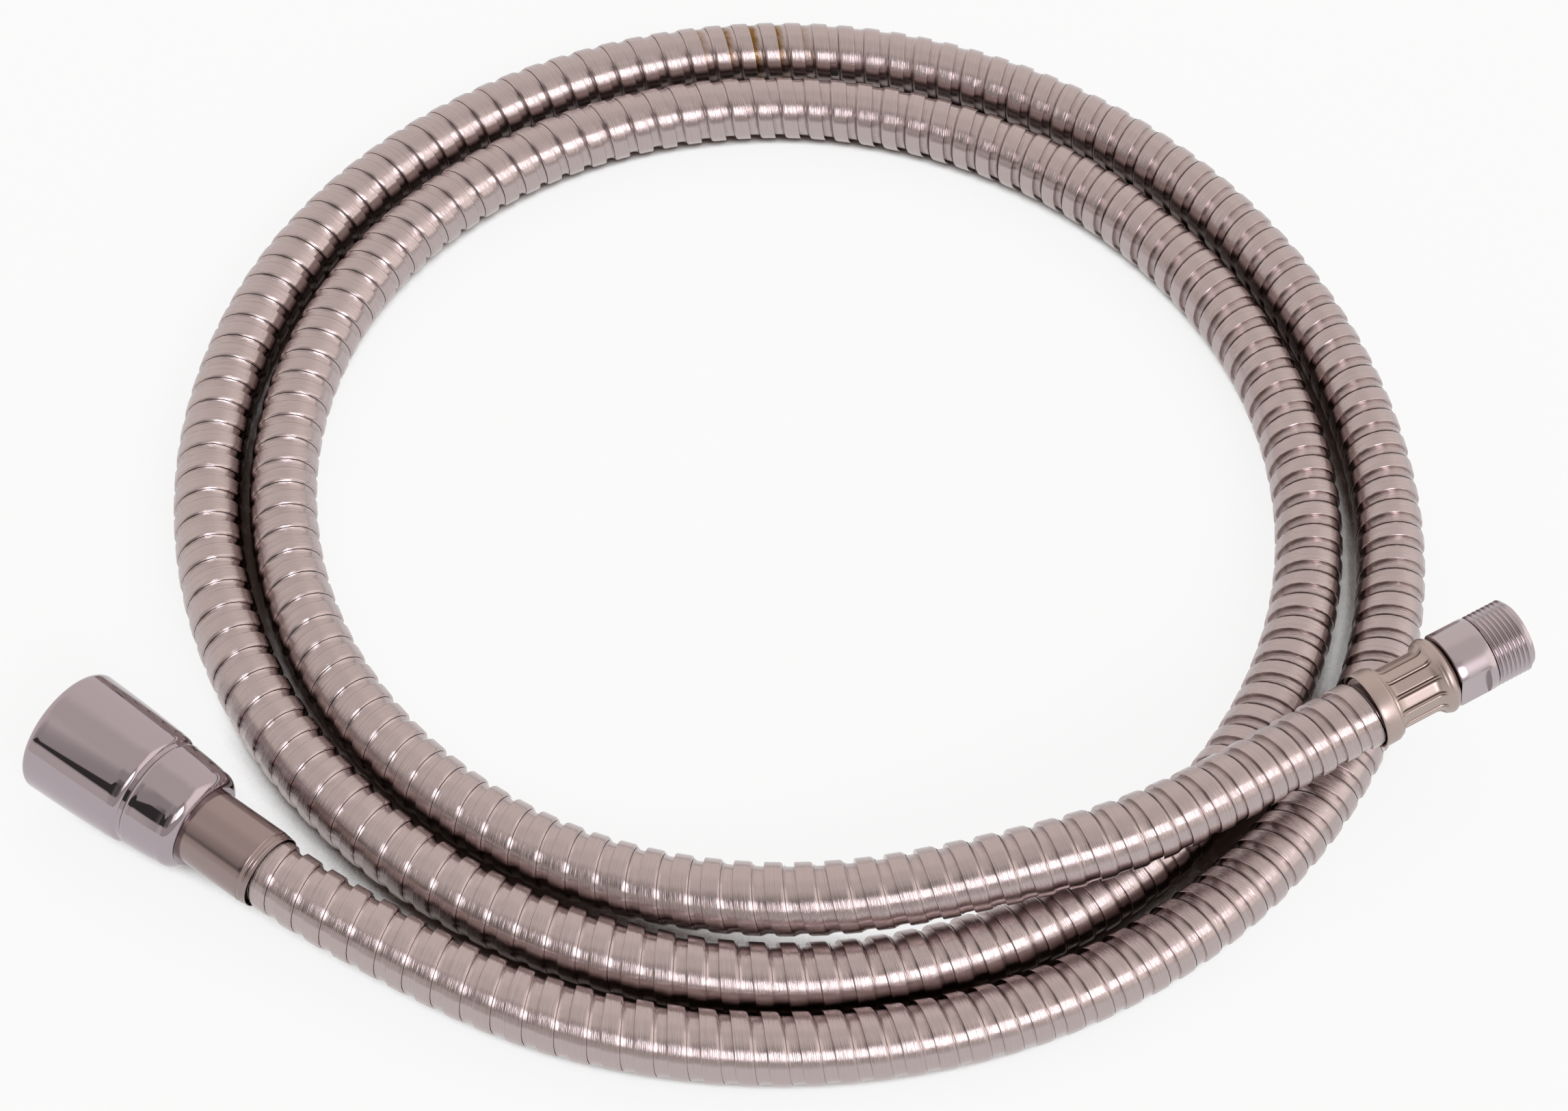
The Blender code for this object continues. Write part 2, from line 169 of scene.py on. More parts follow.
def smoothSlopes(stations, points, firstSlope, lastSlope):
    count = len(stations)
    steps = np.diff(stations)
    matrix = np.zeros((count, count))
    right = np.zeros((count, 3))
    matrix[0, 0] = matrix[-1, -1] = 1.0
    right[0], right[-1] = firstSlope, lastSlope
    for i in range(1, count - 1):
        before, after = steps[i - 1], steps[i]
        matrix[i, i - 1:i + 2] = after, 2 * (before + after), before
        right[i] = 3 * (after * (points[i] - points[i - 1]) / before
                        + before * (points[i + 1] - points[i]) / after)
    return np.linalg.solve(matrix, right)


def onAxis(place, station):
    return np.array(place @ Vector((0, 0, station * mm)))


def coilAngle(point):
    return math.degrees(math.atan2(point[1] - hose["coilCentre"][1], point[0] - hose["coilCentre"][0])) % 360


def routeLine():
    radius = hose["diameter"] / 2
    start, end = onAxis(nutPlace, hose["leavesNutAxis"]), onAxis(connectorPlace, hose["joinsConnectorAxis"])
    stations, points = [coilAngle(start)], [start]
    for angle, distance, lift in hose["route"]:
        turn = math.radians(angle)
        stations.append(angle)
        points.append(np.array((hose["coilCentre"][0] + distance * math.cos(turn),
                                hose["coilCentre"][1] + distance * math.sin(turn), radius + lift)))
    stations.append(coilAngle(end) + 3 * 360)
    points.append(end)
    firstSpeed = np.linalg.norm(points[1] - points[0]) / (stations[1] - stations[0])
    lastSpeed = np.linalg.norm(points[-1] - points[-2]) / (stations[-1] - stations[-2])
    slopes = smoothSlopes(stations, points, np.array(nutPlace.col[2])[:3] * firstSpeed,
                          np.array(connectorPlace.col[2])[:3] * lastSpeed)
    firstStations = np.linspace(hose["startOnNutAxis"], hose["leavesNutAxis"], hose["stepsInNut"])[:-1]
    line = [onAxis(nutPlace, s) for s in firstStations]
    for i in range(len(points) - 1):
        step = stations[i + 1] - stations[i]
        for t in np.linspace(0, 1, hose["stepsPerPoint"], endpoint=False):
            point = (points[i] * (1 + 2 * t) + slopes[i] * step * t) * (1 - t) ** 2
            point = point + (points[i + 1] * (3 - 2 * t) + slopes[i + 1] * step * (t - 1)) * t * t
            point[2] = max(point[2], radius)
            line.append(point)
    lastStations = np.linspace(hose["joinsConnectorAxis"], hose["endOnConnectorAxis"],
                               hose["stepsInConnector"])
    line += [onAxis(connectorPlace, s) for s in lastStations]
    return np.array(line)


class Route:
    # the centreline by length, with the way out of the bend and the way up from it
    def __init__(self, line):
        self.line = line
        self.run = np.concatenate([[0], np.cumsum(np.linalg.norm(np.diff(line, axis=0), axis=1))])
        self.length = self.run[-1]
        self.slopes = np.gradient(line, self.run, axis=0)

    def at(self, run):
        point = np.stack([np.interp(run, self.run, self.line[:, i]) for i in range(3)], -1)
        along = np.stack([np.interp(run, self.run, self.slopes[:, i]) for i in range(3)], -1)
        along /= np.linalg.norm(along, axis=-1, keepdims=True)
        out = point - np.array((*hose["coilCentre"], 0.0))
        out[..., 2] = 0
        out -= (out * along).sum(-1, keepdims=True) * along
        out /= np.linalg.norm(out, axis=-1, keepdims=True)
        return point, out, np.cross(out, along)


route = Route(routeLine())
print("route laid, hose length", round(route.length, 4), "m")


# The jacket: one strip of stainless steel, folded and wound right-handed round the hose

winding = {
    "pitch": 6.0,
    "segments": 24,
    "bandWidth": 3.30,
    "bendRadius": 115.0,  # the grooves open on the outside of the bend and close inside
    "outsideDepth": 0.5,  # the folds lie flatter where the bend stretches them
    "insideDepth": 1.0,
    "innerRings": 92,
    # one turn's section: run along the hose and depth below the band, in mm
    "section": [
        (0.00, 0.30), (0.06, 0.06), (0.20, 0.00), (2.80, 0.00), (3.12, 0.05), (3.38, 0.19), (3.58, 0.44),
        (3.61, 0.90), (3.73, 0.90), (3.76, 0.48), (3.98, 0.70), (4.22, 0.82), (4.60, 0.88), (5.96, 0.90),
    ],
    "creaseRows": (6, 7, 8, 9, 13),
    "grooveMiddle": 4.9,  # run of the sunk floor's middle, in mm
    # rusty grooves: run along the hose in metres, and how strong
    "stains": [(0.5377, 0.25), (0.5437, 0.75), (0.5497, 1.0), (0.5557, 0.8), (0.5617, 0.5)],
    "stainReach": 2.4,
    "stainRows": {0: 1.0, 1: 1.0, 12: 0.3, 13: 1.0},  # rows of the section, on the floor by the next band
}


def makeWinding():
    pitch, segments = winding["pitch"] * mm, winding["segments"]
    radius = hose["diameter"] / 2
    runs = np.array([run for run, depth in winding["section"]]) * mm
    depths = np.array([depth for run, depth in winding["section"]]) * mm
    perTurn = len(runs)
    turns = int(math.ceil(route.length / pitch)) + 1
    total = (turns + 1) * perTurn
    turnIndex = np.repeat(np.arange(-1, turns), perTurn)
    around = np.arange(segments) / segments
    angle = -2 * math.pi * around  # a right-hand winding, counted from the outside of the bend
    stretch = 1 + radius / (winding["bendRadius"] * mm) * np.cos(angle)
    band = runs[None, :] / stretch[:, None]
    weight = np.clip((runs - winding["bandWidth"] * mm) / (runs.max() - winding["bandWidth"] * mm), 0, 1)
    local = band * (1 - weight) + runs[None, :] * weight
    run = (turnIndex[:, None] + around[None, :]) * pitch + np.tile(local.T, (turns + 1, 1))
    clamped = np.clip(run, 0, route.length)
    point, out, up = route.at(clamped)
    inside = (1 - np.cos(angle)) / 2
    ease = winding["outsideDepth"] + (winding["insideDepth"] - winding["outsideDepth"]) * inside
    depth = np.tile(depths, turns + 1)[:, None] * ease[None, :]
    depth[(run <= 0) | (run >= route.length)] = 0
    reach = radius - depth
    turnedAngle = np.broadcast_to(angle[None, :], run.shape)
    ways = np.cos(turnedAngle)[..., None] * out + np.sin(turnedAngle)[..., None] * up
    place = point + reach[..., None] * ways
    verts = [tuple(v) for v in place.reshape(-1, 3)]
    faces, corners, creases = [], [], []
    strip = 2 * math.pi * radius

    def vertex(row, k):
        if k == segments:
            row, k = row + perTurn, 0
        return row * segments + k if row < total else None

    flat = run.reshape(-1)
    for row in range(total - 1):
        j = row % perTurn
        low, high = runs[j], runs[j + 1] if j + 1 < perTurn else pitch
        for k in range(segments):
            face = vertex(row, k), vertex(row, k + 1), vertex(row + 1, k + 1), vertex(row + 1, k)
            if None in face:
                continue
            ends = flat[list(face)]
            if ends.max() <= 0 or ends.min() >= route.length:
                continue
            left = (turnIndex[row] + k / segments) * strip
            right = (turnIndex[row] + (k + 1) / segments) * strip
            faces.append(face)
            corners.append(((left, low), (right, low), (right, high), (left, high)))
            if j in winding["creaseRows"]:
                creases.append((face[0], face[1]))

    # the plain inside wall and the two cut ends close the jacket
    rings = np.linspace(0, route.length, winding["innerRings"] + 1)
    point, out, up = route.at(rings)
    ways = np.cos(angle)[None, :, None] * out[:, None, :] + np.sin(angle)[None, :, None] * up[:, None, :]
    inner = point[:, None, :] + hose["innerRadius"] * ways
    ends = point[[0, -1], None, :] + radius * ways[[0, -1]]
    base = len(verts)
    verts += [tuple(v) for v in np.concatenate([ends[:1], inner, ends[1:]]).reshape(-1, 3)]
    for ring in range(len(rings) + 1):
        for k in range(segments):
            a, b = base + ring * segments + k, base + ring * segments + (k + 1) % segments
            faces.append((a, b, b + segments, a + segments))
            corners.append(((0, 0), (mm, 0), (mm, mm), (0, mm)))

    mesh = bpy.data.meshes.new("hose_winding")
    mesh.from_pydata(verts, [], faces)
    uv = mesh.uv_layers.new(name="strip")
    uv.data.foreach_set("uv", np.array(corners).ravel())
    stain = np.zeros(len(verts))
    rowShare = np.zeros(perTurn)
    for row, share in winding["stainRows"].items():
        rowShare[row] = share
    rowShare = np.tile(rowShare, turns + 1)
    grooveRun = (turnIndex[:, None] + around[None, :]) * pitch + winding["grooveMiddle"] * mm
    for where, amount in winding["stains"]:
        near = np.exp(-(grooveRun - where) ** 2 / (winding["stainReach"] * mm) ** 2)
        stain[:base] = np.maximum(stain[:base], (near * amount * rowShare[:, None]).reshape(-1))
    mesh.attributes.new("stain", "FLOAT", "POINT").data.foreach_set("value", stain)
    mesh.shade_smooth()
    piece = bpy.data.objects.new("hose_winding", mesh)
    bpy.context.scene.collection.objects.link(piece)
    bm = bmesh.new()
    bm.from_mesh(mesh)
    bm.verts.ensure_lookup_table()
    for a, b in creases:
        edge = bm.edges.get((bm.verts[a], bm.verts[b]))
        edge.smooth = False
    bmesh.ops.remove_doubles(bm, verts=bm.verts, dist=1e-7)
    bmesh.ops.dissolve_degenerate(bm, edges=bm.edges, dist=1e-8)
    bmesh.ops.delete(bm, geom=[v for v in bm.verts if not v.link_faces], context="VERTS")
    bmesh.ops.recalc_face_normals(bm, faces=bm.faces)
    bm.to_mesh(mesh)
    bm.free()
    bpy.ops.object.select_all(action="DESELECT")
    piece.select_set(True)
    bpy.context.view_layer.objects.active = piece
    # the wide bands shade flat up to their edges
    flatten = piece.modifiers.new("flatBands", "WEIGHTED_NORMAL")
    flatten.keep_sharp = True
    bpy.ops.object.modifier_apply(modifier=flatten.name)
    return piece


hoseWinding = makeWinding()
print("winding made,", len(hoseWinding.data.polygons), "faces")


# Turned pieces: an outline of radius and height in mm, spun round Z. A thread closes an open outline

def arc(centreRadius, centreHeight, size, start, end, steps):
    angles = [math.radians(start + (end - start) * i / steps) for i in range(steps + 1)]
    return [(centreRadius + size * math.cos(a), centreHeight + size * math.sin(a)) for a in angles]


def turnPiece(name, outline, segments, closed=True):
    bpy.ops.object.select_all(action="DESELECT")
    bpy.ops.mesh.primitive_plane_add(size=mm, location=(0, 0, 0))
    piece = bpy.context.object
    piece.name = piece.data.name = name
    bpy.ops.object.mode_set(mode="EDIT")
    bpy.ops.mesh.select_all(action="SELECT")
    bpy.ops.mesh.merge(type="CENTER")
    bpy.ops.transform.translate(value=(outline[0][0] * mm, 0, outline[0][1] * mm))
    path = outline + outline[:1] if closed else outline
    for (r0, z0), (r1, z1) in zip(path, path[1:]):
        step = ((r1 - r0) * mm, 0, (z1 - z0) * mm)
        bpy.ops.mesh.extrude_region_move(TRANSFORM_OT_translate={"value": step})
    bpy.ops.mesh.select_all(action="SELECT")
    bpy.ops.mesh.remove_doubles(threshold=1e-7)
    bpy.ops.mesh.spin(steps=segments, angle=math.tau, center=(0, 0, 0), axis=(0, 0, 1))
    bpy.ops.mesh.remove_doubles(threshold=1e-6)
    bpy.ops.mesh.normals_make_consistent(inside=False)
    bpy.ops.object.mode_set(mode="OBJECT")
    return piece


def finishPiece(piece, place, sharpAngle=30):
    piece.data.transform(place)
    bpy.ops.object.select_all(action="DESELECT")
    piece.select_set(True)
    bpy.context.view_layer.objects.active = piece
    bpy.ops.object.shade_smooth_by_angle(angle=math.radians(sharpAngle))
    return piece


# A cut thread is a helical surface, so it is laid out point by point and sewn to the turned piece

def threadSurface(section, pitch, low, high, segments, endRadius):
    perTurn = len(section)
    turns = int((high - low) / pitch) + 3
    verts, faces = [], []
    for row in range(turns * perTurn):
        turn, j = divmod(row, perTurn)
        share, radius = section[j]
        for k in range(segments):
            z = low + (turn - 1 + share + k / segments) * pitch
            angle = math.tau * k / segments
            r = endRadius if z <= low or z >= high else radius
            z = min(max(z, low), high)
            verts.append((r * math.cos(angle) * mm, r * math.sin(angle) * mm, z * mm))
    for row in range(turns * perTurn - 1):
        for k in range(segments):
            step = row + perTurn if k + 1 == segments else row
            nextK = (k + 1) % segments
            if (step + 1) >= turns * perTurn:
                continue
            face = (row * segments + k, step * segments + nextK,
                    (step + 1) * segments + nextK, (row + 1) * segments + k)
            heights = {round(verts[i][2], 7) for i in face}
            if len(heights) > 1:
                faces.append(face)
    return verts, faces


def sewThread(piece, verts, faces):
    bm = bmesh.new()
    bm.from_mesh(piece.data)
    made = [bm.verts.new(v) for v in verts]
    for face in faces:
        bm.faces.new([made[i] for i in face])
    bmesh.ops.remove_doubles(bm, verts=bm.verts, dist=2e-6)
    bmesh.ops.dissolve_degenerate(bm, edges=bm.edges, dist=1e-7)
    bmesh.ops.delete(bm, geom=[v for v in bm.verts if not v.link_faces], context="VERTS")
    bmesh.ops.recalc_face_normals(bm, faces=bm.faces)
    bm.to_mesh(piece.data)
    bm.free()


# Cone nut: two turned stages with a rounded lip between them, and a female thread

coneNut = {
    "length": 35.5,
    "mouthRadius": 13.1,
    "endRadius": 11.6,
    "mouthRound": 1.4,
    "bulge": 0.14,  # the first stage is slightly barrelled
    "secondBulge": 0.15,
    "lipAt": 23.2,
    "lipRound": 1.6,
    "lipStep": 0.55,
    "secondTaper": 0.045,
    "secondRound": 1.3,
    "endRound": 3.0,
    "holeRadius": 8.2,
    "holeRound": 0.5,
    "shoulderAt": 15.6,
    "threadMinor": 9.45,
    "threadMajor": 10.45,
    "threadPitch": 1.814,
    "threadFrom": 1.9,
    "threadTo": 10.6,
    "mouthChamfer": 1.0,
    "segments": 128,
}


def makeConeNut():
    n = coneNut
    taper = (n["mouthRadius"] - n["endRadius"]) / n["length"]

    def cone(z):
        middle = n["lipAt"] / 2
        return n["mouthRadius"] - taper * z - n["bulge"] * min(((z - middle) / middle) ** 2, 1.0)

    lipEnd = n["lipAt"]
    half = (n["length"] - n["endRound"] - lipEnd) / 2
    secondStart = lipEnd + 0.25
    outer = arc(cone(0) - n["mouthRound"], n["mouthRound"], n["mouthRound"], -90, 0, 10)
    outer += [(cone(z), z) for z in range(2, 22)]
    outer += arc(cone(lipEnd) - n["lipRound"], lipEnd - n["lipRound"], n["lipRound"], 0, 62, 8)
    grooveRadius = cone(lipEnd) - n["lipStep"]
    size = n["secondRound"]
    outer += arc(grooveRadius - size + 0.04, secondStart + size, size, -48, -4, 6)
    for z in np.arange(secondStart + size + 0.5, n["length"] - n["endRound"], 0.5):
        narrower = n["secondTaper"] * (z - secondStart) + n["secondBulge"] * ((z - lipEnd - half) / half) ** 2
        outer.append((cone(z) - n["lipStep"] + 0.12 - narrower, z))
    end = n["length"]
    back = end - n["endRound"]
    outer += arc(outer[-1][0] - n["endRound"], back, n["endRound"], 2, 90, 14)
    hole = n["holeRadius"]
    outer += arc(hole + n["holeRound"], end - n["holeRound"], n["holeRound"], 90, 180, 6)
    outer += [(hole, n["shoulderAt"]), (n["threadMinor"], n["shoulderAt"]), (n["threadMinor"], n["threadTo"])]
    mouth = [(n["threadMinor"], n["threadFrom"]), (n["threadMinor"] + 0.1, n["threadFrom"] - 0.5),
             (n["threadMinor"] + n["mouthChamfer"], 0.0)]
    outline = list(reversed(outer)) + list(reversed(mouth))
    piece = turnPiece("cone_nut_fine", outline, n["segments"], closed=False)
    minor, major = n["threadMinor"], n["threadMajor"]
    section = [(0.0, minor), (0.14, minor), (0.44, major), (0.58, major), (0.88, minor + 0.12)]
    verts, faces = threadSurface(section, n["threadPitch"], n["threadFrom"], n["threadTo"],
                                 n["segments"], minor)
    sewThread(piece, verts, faces)
    return finishPiece(piece, nutPlace)


nutFine = makeConeNut()
print("cone nut made,", len(nutFine.data.polygons), "faces")


# Smooth sleeve behind the nut, the washer and the flanged nipple inside it

sleeve = {
    "front": 15.6,
    "end": 52.1,
    "wall": 1.0,
    "innerRadius": 7.3,
    "outerRadius": 7.75,
    "neckRadius": 3.85,
    # small beads rolled at the hose's end: inset, distance from the end, size and first angle
    "beads": [(0.35, 2.3, 0.35, 0), (0.33, 1.45, 0.24, -40), (0.43, 0.8, 0.24, -40)],
    "segments": 96,
}


def makeSleeve():
    s = sleeve
    outline = arc(s["outerRadius"] - s["wall"], s["front"] + s["wall"], s["wall"], -90, 0, 8)
    outline += [(s["outerRadius"], z) for z in (22, 30, 40, 49.0)]
    for inset, back, size, start in s["beads"]:
        outline += arc(s["outerRadius"] - inset, s["end"] - back, size, start, 60, 4)
    outline += arc(s["innerRadius"] + 0.10, s["end"] - 0.1, 0.10, 40, 180, 4)
    outline += [(s["innerRadius"], s["front"] + s["wall"]), (s["neckRadius"], s["front"] + s["wall"]),
                (s["neckRadius"], s["front"])]
    return finishPiece(turnPiece("sleeve_fine", outline, s["segments"]), nutPlace)


washer = {"low": 11.0, "high": 13.0, "holeRadius": 5.2, "outerRadius": 9.15, "edge": 0.18, "segments": 72}


def makeWasher():
    w = washer
    outline = arc(w["outerRadius"] - w["edge"], w["high"] - w["edge"], w["edge"], 0, 90, 3)
    outline += arc(w["holeRadius"] + w["edge"], w["high"] - w["edge"], w["edge"], 90, 180, 3)
    outline += arc(w["holeRadius"] + w["edge"], w["low"] + w["edge"], w["edge"], 180, 270, 3)
    outline += arc(w["outerRadius"] - w["edge"], w["low"] + w["edge"], w["edge"], 270, 360, 3)
    return finishPiece(turnPiece("washer_fine", outline, w["segments"]), nutPlace, 60)


nipple = {
    "flangeAt": 13.3,
    "flangeBack": 15.3,
    "flangeRadius": 9.15,
    "outerRadius": 3.55,
    "boreRadius": 2.3,
    "tip": 36.3,
    "edge": 0.15,
    "barbs": 4,
    "barbDepth": 0.45,
    "segments": 64,
}


def makeNipple():
    n = nipple
    outline = arc(n["flangeRadius"] - n["edge"], n["flangeAt"] + n["edge"], n["edge"], -90, 0, 3)
    outline += arc(n["flangeRadius"] - n["edge"], n["flangeBack"] - n["edge"], n["edge"], 0, 90, 3)
    outline += [(n["outerRadius"], n["flangeBack"]), (n["outerRadius"], n["flangeBack"] + 1.6)]
    root = n["flangeBack"] + 1.9
    pitch = (n["tip"] - root) / n["barbs"]
    barbRoot = n["outerRadius"] - n["barbDepth"]
    for i in range(n["barbs"]):
        outline += [(barbRoot, root + pitch * i), (n["outerRadius"], root + pitch * (i + 0.25))]
    outline += [(barbRoot, n["tip"]), (n["boreRadius"], n["tip"])]
    outline += arc(n["boreRadius"] + 0.3, n["flangeAt"] + 0.3, 0.3, 180, 270, 4)
    return finishPiece(turnPiece("nipple_fine", outline, n["segments"]), nutPlace)


sleeveFine, washerFine, nippleFine = makeSleeve(), makeWasher(), makeNipple()
print("sleeve, washer and nipple made")


# Crimped sleeve at the connector: collar, neck pressed by twelve jaws, flare and rolled bead

crimp = {
    "collarEnd": 4.2,
    "collarRadius": 7.75,
    "innerRadius": 7.3,
    "neckInner": 5.7,
    "neckRadius": 6.3,
    "neckFrom": 5.5,
    "neckTo": 12.7,
    "beadRadius": 7.9,
    "beadSize": 1.05,
    "beadAt": 15.75,
    "end": 17.3,
    # curves between these forms, as radius and height
    "neckFoot": [(6.85, 4.35), (6.6, 4.75), (6.42, 5.15), (6.33, 5.5)],
    "flare": [(6.34, 13.0), (6.44, 13.35), (6.62, 13.7), (6.88, 14.02), (7.2, 14.3), (7.45, 14.52),
              (7.62, 14.75)],
    "lip": [(7.2, 16.95), (6.9, 17.18)],
    "lipRadius": 6.6,
    "pressed": (4.3, 14.7),  # heights that the jaws reach
    "jaws": 12,
    "perJaw": 24,
    "ridgeHalfWidth": 0.30,
    "ridgeHeight": 0.12,
    "slotDepth": 0.24,
    "slotWidth": 0.14,
    "facet": 0.16,
}


def crimpShape(angle, z):
    # how far the jaws move the neck's surface in or out, in mm, and how deep in a jaw slot the point lies,
    # which darkens the colour as painted shade
    c = crimp
    cell = math.tau / c["jaws"]
    offset = (angle / cell + 0.5) % 1.0 - 0.5  # 0 on a ridge between two jaws
    across = abs(offset) * cell * c["neckRadius"]
    ridge = c["ridgeHeight"] * math.exp(-(across / (c["ridgeHalfWidth"] * 0.7)) ** 4)
    slot = -c["slotDepth"] * math.exp(-((across - c["ridgeHalfWidth"]) / c["slotWidth"]) ** 2)
    facet = c["facet"] * (1 - math.cos(offset * math.tau)) / 2 * -0.6
    wave = 0.35 * math.cos(offset * math.tau) + 0.2 * math.sin(angle * 5 + 1.3)  # the jaws end unevenly
    start = min(max((z - c["neckFrom"] + 1.3 - wave * 0.4) / 0.5, 0), 1)
    stop = min(max((c["neckTo"] + 1.6 + wave * 0.6 - z) / 0.6, 0), 1)
    ease = start * start * (3 - 2 * start) * stop * stop * (3 - 2 * stop)
    return (ridge + slot + facet) * ease, -slot / c["slotDepth"] * ease


def makeCrimp():
    c = crimp
    collar = c["collarRadius"]
    outline = [(c["innerRadius"], 0.12)]
    outline += arc(collar - 0.2, 0.2, 0.2, -120, -20, 4)
    outline += [(collar + 0.03, 0.9), (collar + 0.05, 1.7), (collar + 0.02, 2.5)]
    outline += arc(collar - 0.9, 3.05, 0.9, 0, 62, 6)
    outline += c["neckFoot"] + [(c["neckRadius"], 5.8 + 0.36 * i) for i in range(20)] + c["flare"]
    outline += arc(c["beadRadius"] - c["beadSize"], c["beadAt"], c["beadSize"], -45, 55, 10)
    outline += c["lip"] + [(c["lipRadius"], c["end"]), (c["neckInner"], c["end"])]
    outline += [(c["neckInner"], c["collarEnd"]), (c["innerRadius"], c["collarEnd"])]
    piece = turnPiece("crimp_fine", outline, c["jaws"] * c["perJaw"])
    # painted shade: how deep each point lies in a jaw slot, kept for the colour to darken
    slotShade = piece.data.attributes.new("slotShade", "FLOAT", "POINT")
    for vertex in piece.data.vertices:
        x, y, z = vertex.co / mm
        radius = math.hypot(x, y)
        if radius > c["neckInner"] + 0.2 and c["pressed"][0] < z < c["pressed"][1]:
            move, depth = crimpShape(math.atan2(y, x), z)
            vertex.co.x *= 1 + move / radius
            vertex.co.y *= 1 + move / radius
            slotShade.data[vertex.index].value = depth
    return finishPiece(piece, connectorPlace, 50)


crimpFine = makeCrimp()
print("crimped sleeve made,", len(crimpFine.data.polygons), "faces")


# Threaded connector: round body with two wrench flats, male thread, bored end and barbed tail

connector = {
    "bodyAt": 17.6,
    "bodyRadius": 7.6,
    "flatTo": 23.8,
    "acrossFlats": 13.0,
    "flatTurn": -4.6,
    "threadFrom": 25.7,
    "threadTo": 33.6,
    "end": 34.2,
    "threadRadius": 7.5,
    "threadRoot": 7.02,
    "threadPitch": 1.0,
    "boreRadius": 4.3,
    "boreDepth": 8.0,
    "flowRadius": 2.3,
    "tailRadius": 3.55,
    "tailStart": 15.7,
    "tailTip": 3.6,
    "barbs": 4,
    "barbDepth": 0.45,
    "segments": 128,
}


def makeConnector():
    c = connector
    flat = c["acrossFlats"] / 2
    body = c["bodyRadius"]
    outline = [(c["threadRoot"], c["threadFrom"])]
    shoulder = c["threadFrom"]
    outline += [(body - 0.35, shoulder), (body - 0.06, shoulder - 0.25), (body, shoulder - 0.5)]
    outline += [(body, c["flatTo"] + 0.02), (body, c["flatTo"]), (body, 21.5), (body, 19.5)]
    outline += [(body, c["bodyAt"] + 0.35), (body - 0.08, c["bodyAt"] + 0.12), (body - 0.3, c["bodyAt"])]
    barb, barbRoot, tailStart = c["tailRadius"], c["tailRadius"] - c["barbDepth"], c["tailStart"]
    outline += [(barb, c["bodyAt"]), (barb, tailStart + 0.3), (barbRoot, tailStart)]
    pitch = (tailStart - c["tailTip"]) / c["barbs"]
    for i in range(c["barbs"]):
        outline += [(barb, tailStart - pitch * (i + 0.25)), (barbRoot, tailStart - pitch * (i + 1))]
    funnel = c["end"] - c["boreDepth"]
    bore, flow, root, end = c["boreRadius"], c["flowRadius"], c["threadRoot"], c["end"]
    outline += [(flow, c["tailTip"]), (flow, funnel - bore + flow), (bore, funnel), (bore, end - 0.5)]
    outline += [(bore + 0.12, end - 0.15), (bore + 0.5, end), (root - 0.25, end), (root, c["threadTo"])]
    piece = turnPiece("connector_fine", outline, c["segments"], closed=False)
    for vertex in piece.data.vertices:
        x, y, z = vertex.co / mm
        if c["bodyAt"] - 0.01 < z < c["flatTo"] + 0.01 and abs(y) > flat:
            vertex.co.y = math.copysign(flat, y) * mm
    crest = c["threadRadius"]
    section = [(0.0, root), (0.10, root), (0.46, crest - 0.03), (0.50, crest), (0.60, crest),
               (0.64, crest - 0.03)]
    verts, faces = threadSurface(section, c["threadPitch"], c["threadFrom"], c["threadTo"],
                                 c["segments"], root)
    sewThread(piece, verts, faces)
    turn = Matrix.Rotation(math.radians(c["flatTurn"]), 4, "Z")
    return finishPiece(piece, connectorPlace @ turn)


connectorFine = makeConnector()
print("connector made,", len(connectorFine.data.polygons), "faces")


# Finishes

steel = {
    "colour": "#b6a9a7",
    "stainColour": "#7d5c2c",
    "lineWidth": 0.17,  # the real lines are finer, and these are as coarse as they need to be to show
    "lineLength": 22.0,
    "lineHeight": 0.09,
    "patch": 9.0,
    "stainGrain": 1.1,
    "stainStrength": 2.8,
}


